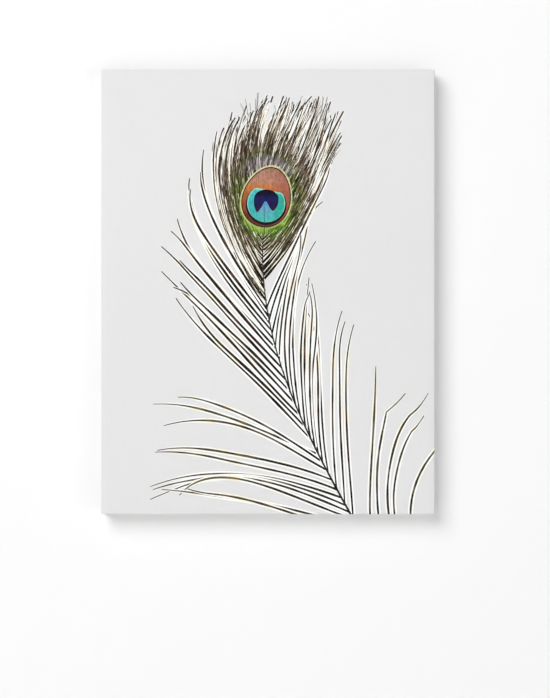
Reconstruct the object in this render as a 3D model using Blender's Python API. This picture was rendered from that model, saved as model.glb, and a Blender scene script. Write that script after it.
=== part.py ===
"""A stretched canvas print, 300 x 400 mm: printed cloth pulled round a keyed pine stretcher
and stapled at the back, with a sawtooth hanger and two wall pads.

Metres. +X is right as seen from the front, -Y is the way the picture faces, +Z is up.
The origin is the middle notch of the hanger, on the wall's surface, which is the plane y = 0.
"""

import math

import bmesh
import bpy
from mathutils import Matrix, Vector

# The picture and the stretcher behind it.
PICTURE_WIDTH = 0.300
PICTURE_HEIGHT = 0.400
TOP_ABOVE_NAIL = 0.018
CLOTH = 0.0005
GAP = 0.0003
BAR_DEPTH = 0.018
BAR_WIDTH = 0.038
MARGIN = 0.025

# Depths, from the wall forwards.
PAD_THICKNESS = 0.0021
CLOTH_BACK = -(PAD_THICKNESS + GAP)
BAR_BACK = CLOTH_BACK - CLOTH - GAP
BAR_FRONT = BAR_BACK - BAR_DEPTH
CLOTH_INSIDE = BAR_FRONT - GAP
PICTURE_FACE = CLOTH_INSIDE - CLOTH

# The corner joint: each bar end has a tongue at one depth and a slot at the other.
TONGUE_WIDTH = 0.024
TONGUE_THICKNESS = 0.003
SLOT_THICKNESS = TONGUE_THICKNESS + 2 * GAP
SLOT_REACH = 0.044
UPRIGHT_LEVEL = BAR_BACK - 0.0062
CROSS_LEVEL = BAR_BACK - 0.0106
MITRE_PULL = 0.00022

# The bar's front slopes away from the cloth, so that only its outer edge touches it.
EDGE_FLAT = 0.006
EDGE_ROUND = 0.001
FRONT_SLOPE = 0.003

# Corner keys, measured from the outer corner of the stretcher.
KEY_TIP = 0.0275
KEY_END = 0.054
KEY_TIP_WIDTH = 0.0018
KEY_END_WIDTH = 0.0085
KEY_CHAMFER = 0.0016
KEY_CLEAR = 0.0004

# Staples of flat wire.
CROWN = 0.010
WIRE_WIDTH = 0.0010
WIRE_THICKNESS = 0.0006
LEG = 0.0075
STAPLE_INSET = 0.012
UPRIGHT_STAPLES = (-0.150, -0.090, -0.030, 0.030, 0.090, 0.150)
CROSS_STAPLES = (-0.120, -0.085, -0.045, 0.045, 0.085, 0.120)

# The sawtooth hanger and its two pins.
STRIP = 0.0008
STRIP_HALF = 0.023
STRIP_TOP = 0.0095
BOW_HALF = 0.013
RAMP = 0.0015
TOOTH_DEPTH = 0.0015
TOOTH_PITCH = 0.002
NOTCHES_EACH_SIDE = 5
PIN_X = 0.019
PIN_Z = 0.004
PIN_SHANK = 0.0007
PIN_HEAD = 0.0018
PIN_HEAD_HEIGHT = 0.0009
PIN_LENGTH = 0.009

PAD_RADIUS = 0.006
PAD_INSET = 0.014

PICTURE_TOP = TOP_ABOVE_NAIL
PICTURE_BOTTOM = PICTURE_TOP - PICTURE_HEIGHT
PICTURE_MIDDLE = (PICTURE_TOP + PICTURE_BOTTOM) / 2
BAR_INSET = CLOTH + GAP
UPRIGHT_LENGTH = PICTURE_HEIGHT - 2 * BAR_INSET
CROSS_LENGTH = PICTURE_WIDTH - 2 * BAR_INSET

PRINTED_CANVAS = ((0.75, 0.75, 0.745, 1), 0.85, 0.0)
PINE = ((0.72, 0.53, 0.33, 1), 0.65, 0.0)
KEY_WOOD = ((0.62, 0.44, 0.27, 1), 0.6, 0.0)
ZINC = ((0.62, 0.63, 0.65, 1), 0.35, 1.0)
BRASS = ((0.72, 0.56, 0.28, 1), 0.35, 1.0)
RUBBER = ((0.08, 0.08, 0.085, 1), 0.7, 0.0)


def material(name, look):
    """A Principled material, made once."""
    made = bpy.data.materials.get(name)
    if made is None:
        made = bpy.data.materials.new(name)
        made.use_nodes = True
        shader = made.node_tree.nodes["Principled BSDF"]
        colour, roughness, metallic = look
        shader.inputs["Base Color"].default_value = colour
        shader.inputs["Roughness"].default_value = roughness
        shader.inputs["Metallic"].default_value = metallic
    return made


def solid(name, bm, look_name, look):
    """A named object from a bmesh, with its material."""
    bmesh.ops.recalc_face_normals(bm, faces=bm.faces)
    mesh = bpy.data.meshes.new(name)
    bm.to_mesh(mesh)
    bm.free()
    mesh.materials.append(material(look_name, look))
    obj = bpy.data.objects.new(name, mesh)
    bpy.context.scene.collection.objects.link(obj)
    return obj


def cutter(name, bm):
    """A helper that Booleans read and the model leaves out."""
    obj = solid(name, bm, "cutter", PINE)
    obj.hide_render = True
    obj.display_type = "WIRE"
    return obj


def boolean(obj, other, operation):
    modifier = obj.modifiers.new(other.name, "BOOLEAN")
    modifier.operation = operation
    modifier.object = other
    modifier.solver = "EXACT"


def add_box(bm, low, high):
    """An axis-aligned box between two corners."""
    low, high = Vector(low), Vector(high)
    size = high - low
    place = Matrix.Translation((low + high) / 2) @ Matrix.Diagonal((*size, 1))
    bmesh.ops.create_cube(bm, size=1, matrix=place)


def add_prism(bm, outline, move):
    """A flat outline of 3D points, extruded by the vector move."""
    face = bm.faces.new([bm.verts.new(p) for p in outline])
    grown = bmesh.ops.extrude_face_region(bm, geom=[face])
    verts = [g for g in grown["geom"] if isinstance(g, bmesh.types.BMVert)]
    bmesh.ops.translate(bm, vec=move, verts=verts)


def add_drum(bm, radius, near, far, x, z, sides=16):
    """A round bar along Y, from depth near to depth far."""
    turn = Matrix.Rotation(math.radians(90), 4, "X")
    place = Matrix.Translation((x, (near + far) / 2, z)) @ turn
    bmesh.ops.create_cone(
        bm,
        cap_ends=True,
        segments=sides,
        radius1=radius,
        radius2=radius,
        depth=abs(far - near),
        matrix=place,
    )


# Each side of the stretcher is modelled lying along X, with its outer edge on z = 0 and the
# picture's middle below it, and is then turned about Y and moved to its place.
def side_places():
    """Each side: the place of its outer edge, its turn, its length and its two joint levels."""
    across = PICTURE_WIDTH / 2 - BAR_INSET
    top = PICTURE_TOP - BAR_INSET
    bottom = PICTURE_BOTTOM + BAR_INSET
    cross = (CROSS_LENGTH, CROSS_LEVEL, UPRIGHT_LEVEL, CROSS_STAPLES)
    upright = (UPRIGHT_LENGTH, UPRIGHT_LEVEL, CROSS_LEVEL, UPRIGHT_STAPLES)
    return {
        "top": ((0, 0, top), 0, *cross),
        "bottom": ((0, 0, bottom), 180, *cross),
        "left": ((-across, 0, PICTURE_MIDDLE), -90, *upright),
        "right": ((across, 0, PICTURE_MIDDLE), 90, *upright),
    }


def place_side(obj, side):
    location, turn = side_places()[side][:2]
    obj.location = location
    obj.rotation_euler = (0, math.radians(turn), 0)


def side_matrix(side):
    location, turn = side_places()[side][:2]
    return Matrix.Translation(location) @ Matrix.Rotation(math.radians(turn), 4, "Y")


def bar_blank(length):
    """A mitred bar with its sloped front."""
    profile = (
        (0, BAR_BACK),
        (0, BAR_FRONT + EDGE_ROUND),
        (EDGE_ROUND * 0.3, BAR_FRONT + EDGE_ROUND * 0.3),
        (EDGE_ROUND, BAR_FRONT),
        (EDGE_FLAT, BAR_FRONT),
        (BAR_WIDTH, BAR_FRONT + FRONT_SLOPE),
        (BAR_WIDTH, BAR_BACK),
    )
    bm = bmesh.new()
    ends = []
    for sign in (-1, 1):
        ring = []
        for inward, depth in profile:
            along = sign * (length / 2 - inward - MITRE_PULL)
            ring.append(bm.verts.new((along, depth, -inward)))
        ends.append(ring)
    count = len(profile)
    for i in range(count):
        j = (i + 1) % count
        bm.faces.new((ends[0][i], ends[0][j], ends[1][j], ends[1][i]))
    for ring in ends:
        bm.faces.new(ring)
    return bm


def tongues(length, level):
    """The slab whose two ends stand past the mitres as tongues."""
    half = length / 2 - GAP
    bm = bmesh.new()
    add_box(
        bm,
        (-half, level - TONGUE_THICKNESS / 2, -TONGUE_WIDTH),
        (half, level + TONGUE_THICKNESS / 2, -GAP),
    )
    return bm


def slots(length, level):
    """The slot at each end, for the other bar's tongue and for a key."""
    bm = bmesh.new()
    over = 0.002
    for sign in (-1, 1):
        ends = sorted((sign * (length / 2 - SLOT_REACH), sign * (length / 2 + over)))
        add_box(
            bm,
            (ends[0], level - SLOT_THICKNESS / 2, -BAR_WIDTH - over),
            (ends[1], level + SLOT_THICKNESS / 2, over),
        )
    return bm


def staple_legs(bm, along, grow):
    """The two legs of a staple, grown all round by grow, in a side's own frame."""
    for sign in (-1, 1):
        middle = along + sign * (CROWN - WIRE_WIDTH) / 2
        add_box(
            bm,
            (middle - WIRE_WIDTH / 2 - grow, CLOTH_BACK - LEG - grow, -STAPLE_INSET - WIRE_WIDTH / 2 - grow),
            (middle + WIRE_WIDTH / 2 + grow, CLOTH_BACK + GAP + grow, -STAPLE_INSET + WIRE_WIDTH / 2 + grow),
        )


def pin_holes(bm, sides=16):
    for sign in (-1, 1):
        add_drum(bm, PIN_SHANK + GAP, 0.001, CLOTH_BACK - PIN_LENGTH, sign * PIN_X, PIN_Z, sides)


def make_bars(holes):
    for side, (_, _, length, own, other, _) in side_places().items():
        bar = solid("bar_" + side, bar_blank(length), "pine", PINE)
        place_side(bar, side)
        for name, bm, operation in (
            ("tongues_", tongues(length, own), "UNION"),
            ("slots_", slots(length, other), "DIFFERENCE"),
        ):
            helper = cutter(name + side, bm)
            place_side(helper, side)
            boolean(bar, helper, operation)
        boolean(bar, holes, "DIFFERENCE")


def make_canvas(holes):
    """The cloth: the picture, its four turned sides and the margin folded over the back."""
    half = PICTURE_WIDTH / 2
    bm = bmesh.new()
    add_box(bm, (-half, PICTURE_FACE, PICTURE_BOTTOM), (half, CLOTH_BACK, PICTURE_TOP))
    canvas = solid("canvas", bm, "printed_canvas", PRINTED_CANVAS)
    inside = bmesh.new()
    add_box(
        inside,
        (-half + CLOTH, CLOTH_INSIDE, PICTURE_BOTTOM + CLOTH),
        (half - CLOTH, CLOTH_BACK - CLOTH, PICTURE_TOP - CLOTH),
    )
    window = bmesh.new()
    add_box(
        window,
        (-half + MARGIN, CLOTH_BACK - 2 * CLOTH, PICTURE_BOTTOM + MARGIN),
        (half - MARGIN, CLOTH_BACK + CLOTH, PICTURE_TOP - MARGIN),
    )
    hollow = cutter("canvas_hollow", inside)
    boolean(hollow, cutter("canvas_window", window), "UNION")
    boolean(canvas, hollow, "DIFFERENCE")
    boolean(canvas, holes, "DIFFERENCE")


def make_keys():
    """Two tapered keys at each corner, each beside one bar with its tip in the other's slot."""
    inner = BAR_WIDTH + KEY_CLEAR
    outline = (
        (inner, KEY_TIP),
        (inner + KEY_TIP_WIDTH, KEY_TIP),
        (inner + KEY_END_WIDTH, KEY_END - KEY_CHAMFER),
        (inner + KEY_END_WIDTH - KEY_CHAMFER, KEY_END),
        (inner, KEY_END),
    )
    half_width = PICTURE_WIDTH / 2 - BAR_INSET
    half_height = PICTURE_HEIGHT / 2 - BAR_INSET
    for level_name, level in (("upright", UPRIGHT_LEVEL), ("cross", CROSS_LEVEL)):
        for corner, x_sign, z_sign in (
            ("top_left", -1, 1),
            ("top_right", 1, 1),
            ("bottom_left", -1, -1),
            ("bottom_right", 1, -1),
        ):
            points = []
            for beside, along in outline:
                p, q = (beside, along) if level_name == "upright" else (along, beside)
                points.append(
                    (
                        x_sign * (half_width - p),
                        level - TONGUE_THICKNESS / 2,
                        PICTURE_MIDDLE + z_sign * (half_height - q),
                    )
                )
            bm = bmesh.new()
            add_prism(bm, points, (0, TONGUE_THICKNESS, 0))
            solid(f"key_{corner}_{level_name}", bm, "key_wood", KEY_WOOD)


def make_staples():
    """A staple's crown lies on the cloth, and its legs go through it into the bar."""
    half = CROWN / 2
    inner = half - WIRE_WIDTH
    crown_back = CLOTH_BACK + GAP + WIRE_THICKNESS
    shoulder = WIRE_THICKNESS * 0.5
    z = -STAPLE_INSET - WIRE_WIDTH / 2
    outline = (
        (-half, CLOTH_BACK - LEG),
        (-inner, CLOTH_BACK - LEG),
        (-inner, CLOTH_BACK + GAP),
        (inner, CLOTH_BACK + GAP),
        (inner, CLOTH_BACK - LEG),
        (half, CLOTH_BACK - LEG),
        (half, crown_back - shoulder),
        (half - shoulder, crown_back),
        (-half + shoulder, crown_back),
        (-half, crown_back - shoulder),
    )
    for side, (_, _, _, _, _, places) in side_places().items():
        for number, along in enumerate(places, 1):
            bm = bmesh.new()
            add_prism(bm, [(x + along, y, z) for x, y in outline], (0, 0, WIRE_WIDTH))
            staple = solid(f"staple_{side}_{number}", bm, "zinc", ZINC)
            place_side(staple, side)


def make_holes():
    """The holes that the staples' legs and the hanger's pins make in the cloth and the bars."""
    bm = bmesh.new()
    for side, (_, _, _, _, _, places) in side_places().items():
        one = bmesh.new()
        for along in places:
            staple_legs(one, along, GAP)
        mesh = bpy.data.meshes.new("legs_" + side)
        one.to_mesh(mesh)
        one.free()
        mesh.transform(side_matrix(side))
        bm.from_mesh(mesh)
    pin_holes(bm)
    return cutter("fixing_holes", bm)


def make_hanger():
    """A bowed steel strip with a row of notches along its lower edge."""
    tab_front = CLOTH_BACK + GAP
    tab_back = tab_front + STRIP
    bow_end = BOW_HALF + RAMP
    outline = (
        (-STRIP_HALF, tab_front),
        (-bow_end, tab_front),
        (-BOW_HALF, -STRIP),
        (BOW_HALF, -STRIP),
        (bow_end, tab_front),
        (STRIP_HALF, tab_front),
        (STRIP_HALF, tab_back),
        (bow_end, tab_back),
        (BOW_HALF, 0),
        (-BOW_HALF, 0),
        (-bow_end, tab_back),
        (-STRIP_HALF, tab_back),
    )
    bm = bmesh.new()
    add_prism(bm, [(x, y, -TOOTH_DEPTH) for x, y in outline], (0, 0, STRIP_TOP + TOOTH_DEPTH))
    hanger = solid("sawtooth_hanger", bm, "zinc", ZINC)
    cuts = bmesh.new()
    over = 0.0005
    reach = -(CLOTH_BACK + GAP) + 2 * over
    for i in range(-NOTCHES_EACH_SIDE, NOTCHES_EACH_SIDE + 1):
        x = i * TOOTH_PITCH
        half = TOOTH_PITCH * 0.45 * (1 + over / TOOTH_DEPTH)
        notch = ((x - half, over, -TOOTH_DEPTH - over), (x, over, 0), (x + half, over, -TOOTH_DEPTH - over))
        add_prism(cuts, notch, (0, -reach, 0))
    pin_holes(cuts, 24)
    boolean(hanger, cutter("hanger_cuts", cuts), "DIFFERENCE")


def make_pins():
    """Round-headed pins that hold the hanger's two ends."""
    head_front = CLOTH_BACK + GAP + STRIP + GAP / 2
    sides = 20
    crown = head_front + PIN_HEAD_HEIGHT
    for name, sign in (("left", -1), ("right", 1)):
        bm = bmesh.new()
        profile = (
            (PIN_SHANK * 0.25, CLOTH_BACK - PIN_LENGTH + GAP),
            (PIN_SHANK, CLOTH_BACK - PIN_LENGTH + 3 * PIN_SHANK),
            (PIN_SHANK, head_front),
            (PIN_HEAD, head_front),
            (PIN_HEAD, head_front + PIN_HEAD_HEIGHT * 0.35),
            (PIN_HEAD * 0.72, head_front + PIN_HEAD_HEIGHT * 0.82),
            (PIN_HEAD * 0.3, crown),
        )
        rings = []
        for radius, depth in profile:
            ring = []
            for k in range(sides):
                turn = 2 * math.pi * k / sides
                ring.append(bm.verts.new((radius * math.cos(turn), depth, radius * math.sin(turn))))
            rings.append(ring)
        for a, b in zip(rings, rings[1:]):
            for k in range(sides):
                j = (k + 1) % sides
                bm.faces.new((a[k], a[j], b[j], b[k]))
        bm.faces.new(rings[0])
        bm.faces.new(rings[-1])
        pin = solid("hanger_pin_" + name, bm, "brass", BRASS)
        pin.location = (sign * PIN_X, 0, PIN_Z)


def make_pads():
    """Stick-on pads that keep the lower corners off the wall."""
    for name, sign in (("left", -1), ("right", 1)):
        bm = bmesh.new()
        add_drum(bm, PAD_RADIUS, -PAD_THICKNESS, 0, 0, 0, 32)
        rim = [e for e in bm.edges if all(abs(v.co.y) < PAD_THICKNESS / 4 for v in e.verts)]
        bmesh.ops.bevel(
            bm, geom=rim, offset=PAD_THICKNESS / 3, segments=3, profile=0.5, affect="EDGES", material=-1
        )
        pad = solid("wall_pad_" + name, bm, "rubber", RUBBER)
        pad.location = (
            sign * (PICTURE_WIDTH / 2 - PAD_INSET),
            0,
            PICTURE_BOTTOM + PAD_INSET,
        )


for old in list(bpy.data.objects):
    bpy.data.objects.remove(old)

fixing_holes = make_holes()
make_canvas(fixing_holes)
make_bars(fixing_holes)
make_keys()
make_staples()
make_hanger()
make_pins()
make_pads()
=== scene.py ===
import math
import random

import bmesh
import bpy
import numpy as np
from mathutils import Matrix, Vector


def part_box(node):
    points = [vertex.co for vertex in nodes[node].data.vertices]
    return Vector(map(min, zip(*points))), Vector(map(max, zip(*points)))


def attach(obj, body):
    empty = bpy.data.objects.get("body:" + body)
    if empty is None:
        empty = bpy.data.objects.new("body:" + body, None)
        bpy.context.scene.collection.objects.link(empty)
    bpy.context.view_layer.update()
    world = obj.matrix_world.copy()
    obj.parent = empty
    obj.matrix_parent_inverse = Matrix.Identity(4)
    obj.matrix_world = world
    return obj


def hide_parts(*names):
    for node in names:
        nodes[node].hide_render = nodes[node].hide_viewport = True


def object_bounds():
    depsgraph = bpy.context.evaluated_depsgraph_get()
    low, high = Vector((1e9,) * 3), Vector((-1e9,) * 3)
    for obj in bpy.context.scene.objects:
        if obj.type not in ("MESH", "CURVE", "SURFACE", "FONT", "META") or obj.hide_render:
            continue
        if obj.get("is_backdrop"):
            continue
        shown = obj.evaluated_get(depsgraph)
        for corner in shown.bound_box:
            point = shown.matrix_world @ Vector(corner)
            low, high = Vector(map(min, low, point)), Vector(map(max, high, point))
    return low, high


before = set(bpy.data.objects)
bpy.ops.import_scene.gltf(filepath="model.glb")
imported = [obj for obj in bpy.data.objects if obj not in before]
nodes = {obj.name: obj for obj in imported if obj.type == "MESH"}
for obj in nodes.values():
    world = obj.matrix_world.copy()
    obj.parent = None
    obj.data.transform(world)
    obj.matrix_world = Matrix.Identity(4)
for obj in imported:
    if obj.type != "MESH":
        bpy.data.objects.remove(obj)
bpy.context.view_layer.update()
canvas_low, canvas_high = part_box("canvas")
middle = (canvas_low + canvas_high) / 2


# ---- The room -------------------------------------------------------------------------
# A plain white wall just behind the print, and a pale floor well below it. The wall shows
# only from the front, and is open behind the print, so that the back can be seen and lit.
def feed(tree, socket, given):
    """Links given to socket if it is a socket too, or else sets it. A colour may leave out
    its fourth value."""
    if isinstance(given, bpy.types.NodeSocket):
        tree.links.new(given, socket)
    elif socket.type == "RGBA" and len(given) == 3:
        socket.default_value = (*given, 1)
    else:
        socket.default_value = given


def wire(tree, kind, *values, **named):
    """Adds a shader node and feeds its inputs. A name is one of the node's own settings if it
    has it, or else one of its inputs."""
    node = tree.nodes.new("ShaderNode" + kind)
    for name, value in named.items():
        if hasattr(node, name):
            setattr(node, name, value)
        else:
            feed(tree, node.inputs[name.replace("_", " ")], value)
    for socket, value in zip(node.inputs, values):
        feed(tree, socket, value)
    return node


def between(tree, value, low, high, to_low=0.0, to_high=1.0):
    """value, eased from to_low at low to to_high at high."""
    step = wire(tree, "MapRange", value, low, high, to_low, to_high, interpolation_type="SMOOTHSTEP")
    return step.outputs[0]


def mixed(tree, share, first, second):
    """The colour first, turning to second as share goes from 0 to 1."""
    mix = wire(tree, "Mix", data_type="RGBA")
    for socket, given in zip((mix.inputs[0], mix.inputs[6], mix.inputs[7]), (share, first, second)):
        feed(tree, socket, given)
    return mix.outputs[2]


def own_place(tree):
    """Where on the piece the shaded point is, in metres."""
    return wire(tree, "TexCoord").outputs["Object"]


def noise(tree, place, scale, detail):
    return wire(tree, "TexNoise", Vector=place, Scale=scale, Detail=detail).outputs["Fac"]


def finish_named(name, colour, roughness, **fixed):
    """A new material: its node tree and its Principled shader, with its fixed values set."""
    material = bpy.data.materials.new(name)
    material.use_nodes = True
    tree = material.node_tree
    shader = tree.nodes["Principled BSDF"]
    for key, value in {"Base Color": colour, "Roughness": roughness, **fixed}.items():
        feed(tree, shader.inputs[key.replace("_", " ")], value)
    return material, tree, shader


def coloured(tree, shader, colour):
    tree.links.new(colour, shader.inputs["Base Color"])


def bumped(tree, shader, height, strength, distance):
    """Raises the surface by height times distance, in metres, at a strength from 0 to 1."""
    bump = wire(tree, "Bump", Height=height, Strength=strength, Distance=distance)
    tree.links.new(bump.outputs[0], shader.inputs["Normal"])


def cut(bm, at, way, **more):
    """Cuts a mesh along the plane through at that faces way."""
    geom = bm.verts[:] + bm.edges[:] + bm.faces[:]
    bmesh.ops.bisect_plane(bm, geom=geom, dist=1e-7, plane_co=at, plane_no=way, **more)


def made_of(name, bm, *materials):
    """A new object with the mesh in bm, which is used up."""
    mesh = bpy.data.meshes.new(name)
    bm.to_mesh(mesh)
    bm.free()
    for material in materials:
        mesh.materials.append(material)
    obj = bpy.data.objects.new(name, mesh)
    bpy.context.scene.collection.objects.link(obj)
    return obj


def flat_room_piece(name, size, matrix, material, hole=None):
    """A flat square. hole is the low and high corner of an opening that is cut in it."""
    bm = bmesh.new()
    bmesh.ops.create_grid(bm, x_segments=4, y_segments=4, size=size / 2, matrix=matrix)
    if hole:
        low, high = hole
        for corner in hole:
            cut(bm, corner, (1, 0, 0))
            cut(bm, corner, (0, 0, 1))
        centres = {f: f.calc_center_median() for f in bm.faces}
        inside = [f for f, c in centres.items() if low.x < c.x < high.x and low.z < c.z < high.z]
        bmesh.ops.delete(bm, geom=inside, context="FACES")
    made_of(name, bm, material)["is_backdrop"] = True


WALL_SIZE, FLOOR_SIZE = 3.2, 40.0
FLOOR_BELOW = 1.1
WALL_GAP = 0.0004
HOLE_INSET = Vector((0.002, 0, 0.002))

paint, tree, shader = finish_named("wall_paint", (0.9, 0.9, 0.9), 0.9)
bumped(tree, shader, noise(tree, own_place(tree), 420.0, 3.0), 0.05, 0.0005)
behind = wire(tree, "NewGeometry").outputs["Backfacing"]
clear = wire(tree, "BsdfTransparent")
mix = wire(tree, "MixShader", behind, shader.outputs[0], clear.outputs[0])
tree.links.new(mix.outputs[0], tree.nodes["Material Output"].inputs["Surface"])
upright = Matrix.Rotation(math.radians(90), 4, "X")
wall_at = Matrix.Translation((0, WALL_GAP, middle.z - FLOOR_BELOW + WALL_SIZE / 2)) @ upright
hole = (canvas_low + HOLE_INSET, canvas_high - HOLE_INSET)
flat_room_piece("wall", WALL_SIZE, wall_at, paint, hole)

paint, tree, shader = finish_named("floor_paint", (0.9, 0.89, 0.88), 0.8)
shade = between(tree, noise(tree, own_place(tree), 60.0, 4.0), 0.3, 0.7)
coloured(tree, shader, mixed(tree, shade, (0.88, 0.87, 0.86), (0.92, 0.91, 0.9)))
flat_room_piece("floor", FLOOR_SIZE, Matrix.Translation((0, 0, middle.z - FLOOR_BELOW)), paint)

# The camera looks straight at the wall, from a little below and right of the print's middle.
LENS, SENSOR = 85.0, 36.0
VIEW_HEIGHT = 0.6276
AIM_RIGHT, AIM_BELOW = 0.0064, 0.0514
camera = bpy.data.objects.new("camera", bpy.data.cameras.new("camera"))
camera.data.lens, camera.data.sensor_width = LENS, SENSOR
camera.location = (
    middle.x + AIM_RIGHT,
    canvas_low.y - VIEW_HEIGHT * LENS / SENSOR,
    middle.z - AIM_BELOW,
)
camera.rotation_euler = (math.radians(90), 0, 0)
bpy.context.scene.collection.objects.link(camera)
bpy.context.scene.camera = camera
bpy.context.scene.view_settings.view_transform = "Standard"
bpy.context.scene.view_settings.look = "None"


def softbox(name, place, power, size):
    """A square lamp at place, turned to the print. power is in watts, size in metres."""
    light = bpy.data.lights.new(name, "AREA")
    light.energy, light.size = power, size
    lamp = bpy.data.objects.new(name, light)
    lamp.location = place
    lamp.rotation_euler = (middle - Vector(place)).to_track_quat("-Z", "Y").to_euler()
    bpy.context.scene.collection.objects.link(lamp)


softbox("key", middle + Vector((-1.5, -2.7, 1.65)), 86.0, 2.1)
softbox("counter", middle + Vector((1.9, -2.2, -0.85)), 20.0, 1.8)
softbox("behind", middle + Vector((-1.5, 2.3, 1.3)), 8.0, 1.8)

# The daylight is dimmer ahead of the wall than behind it, and always looks the same itself.
SKY_SEEN, SKY_AHEAD, SKY_BEHIND = 0.8, 0.3, 0.8
world = bpy.data.worlds.new("daylight")
world.use_nodes = True
tree = world.node_tree
sky = tree.nodes["Background"]
feed(tree, sky.inputs["Color"], (0.985, 0.99, 1.0))
way = wire(tree, "SeparateXYZ", wire(tree, "TexCoord").outputs["Generated"]).outputs["Y"]
given = between(tree, way, 0.0, 0.3, SKY_AHEAD, SKY_BEHIND)
seen = wire(tree, "LightPath").outputs["Is Camera Ray"]
strength = between(tree, seen, 0.0, 1.0, given, SKY_SEEN)
tree.links.new(strength, sky.inputs["Strength"])
bpy.context.scene.world = world


# ---- Stretcher bars -------------------------------------------------------------------
# Four planed pine bars, mitred, with a tongue and a slot at each end. The grain runs along
# each bar, and the wood is left bare.
def group_named(name, inputs, outputs):
    """A new shader node group, the values that it is given, and where its results go."""
    group = bpy.data.node_groups.new(name, "ShaderNodeTree")
    for in_out, sockets in (("INPUT", inputs), ("OUTPUT", outputs)):
        for label, kind in sockets.items():
            group.interface.new_socket(label, in_out=in_out, socket_type="NodeSocket" + kind)
    given = group.nodes.new("NodeGroupInput").outputs
    return group, given, group.nodes.new("NodeGroupOutput").inputs


def use_group(tree, group, **inputs):
    return wire(tree, "Group", node_tree=group, **inputs).outputs


def maths(tree, operation, *values):
    return wire(tree, "Math", *values, operation=operation).outputs[0]


def make_wood_grain():
    """Growth rings and fibres that run along Z, with a few small knots."""
    group, given, result = group_named(
        "wood_grain",
        {"Vector": "Vector", "Early wood": "Color", "Late wood": "Color", "Ring": "Float"},
        {"Color": "Color", "Height": "Float"},
    )
    long = wire(group, "Mapping", Vector=given["Vector"], Scale=(1.0, 1.0, 0.07))
    sway = noise(group, long.outputs[0], 30.0, 2.0)
    across = wire(group, "SeparateXYZ", given["Vector"]).outputs
    depth = maths(group, "MULTIPLY_ADD", across["Y"], 0.6, across["X"])
    turns = maths(group, "MULTIPLY_ADD", sway, 9.0, maths(group, "MULTIPLY", depth, given["Ring"]))
    rings = maths(group, "FRACT", turns)
    faint = noise(group, long.outputs[0], 90.0, 1.0)
    fibre_place = wire(group, "Mapping", Vector=given["Vector"], Scale=(1.0, 1.0, 0.02))
    pores = between(group, noise(group, fibre_place.outputs[0], 1500.0, 4.0), 0.52, 0.72)
    knot_place = wire(group, "Mapping", Vector=given["Vector"], Scale=(1.0, 1.0, 0.6))
    knots = wire(group, "TexVoronoi", Vector=knot_place.outputs[0], Scale=11.0)
    knot = between(group, knots.outputs["Distance"], 0.11, 0.05)
    slow_rise, quick_fall = between(group, rings, 0.1, 0.95), between(group, rings, 1.0, 0.93)
    late = maths(group, "MULTIPLY", slow_rise, quick_fall)
    band = maths(group, "MULTIPLY", late, between(group, faint, 0.3, 0.7, 0.1, 0.8))
    wood = mixed(group, band, given["Early wood"], given["Late wood"])
    worn = mixed(group, maths(group, "MULTIPLY", pores, 0.28), wood, given["Late wood"])
    knotty = mixed(group, maths(group, "MULTIPLY", knot, 0.8), worn, (0.16, 0.075, 0.03))
    group.links.new(knotty, result["Color"])
    sunk = maths(group, "MULTIPLY", pores, -0.6)
    group.links.new(maths(group, "MULTIPLY_ADD", band, 0.4, sunk), result["Height"])
    return group


wood_grain = make_wood_grain()


def wood(name, turn, early, late, ring, roughness):
    """Bare wood whose grain runs along Z before it is turned. ring is its rings per metre."""
    material, tree, shader = finish_named(name, early, roughness)
    turned = wire(tree, "Mapping", Vector=own_place(tree), Rotation=turn).outputs[0]
    grain = use_group(tree, wood_grain, Vector=turned, Early_wood=early, Late_wood=late, Ring=ring)
    coloured(tree, shader, grain["Color"])
    bumped(tree, shader, grain["Height"], 0.25, 0.0002)
    return material


ACROSS = (0, math.radians(90), 0)
UPRIGHT = (0, 0, 0)
PINE_EARLY, PINE_LATE = (0.81, 0.64, 0.42), (0.64, 0.43, 0.22)
for side, turn in (("top", ACROSS), ("bottom", ACROSS), ("left", UPRIGHT), ("right", UPRIGHT)):
    pine = wood("pine_" + side, turn, PINE_EARLY, PINE_LATE, 330.0, 0.62)
    nodes["bar_" + side].material_slots[0].material = pine


# ---- Corner keys ----------------------------------------------------------------------
# Small tapered wedges of sawn beech, tapped into the corner slots to tighten the cloth.
BEECH_EARLY, BEECH_LATE = (0.66, 0.43, 0.25), (0.47, 0.27, 0.14)
for way, turn in (("upright", UPRIGHT), ("cross", ACROSS)):
    beech = wood("beech_" + way, turn, BEECH_EARLY, BEECH_LATE, 700.0, 0.7)
    for name, node in nodes.items():
        if name.startswith("key_") and name.endswith(way):
            node.material_slots[0].material = beech


# ---- Canvas ---------------------------------------------------------------------------
# One sheet of plain-woven cloth with a matt printed coat, pulled round the bars and folded
# over their backs, where the print stops and the raw cloth shows.
THREAD = 0.0009
CLOTH = 0.0005
FOLD_RADIUS = 0.0012
HALF_WIDTH = (canvas_high.x - canvas_low.x) / 2
HALF_HEIGHT = (canvas_high.z - canvas_low.z) / 2
DEPTH = canvas_high.y - canvas_low.y
MARGIN = 0.025
PRINT_PAST_EDGE, PRINT_BLUR, PRINT_WANDER = 0.0245, 0.0004, 0.0016
ARC = FOLD_RADIUS * math.pi / 2
SIDE = DEPTH - 2 * FOLD_RADIUS
SHEET_PAST_EDGE = 2 * ARC + SIDE + MARGIN - 2 * FOLD_RADIUS
SLACK = 0.00009
WEAVE_RELIEF = 0.00025
GROUND = (0.735, 0.735, 0.735)
RAW_CLOTH, RAW_THREAD = (0.84, 0.825, 0.78), (0.70, 0.675, 0.60)
MATT = 0.12


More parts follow.
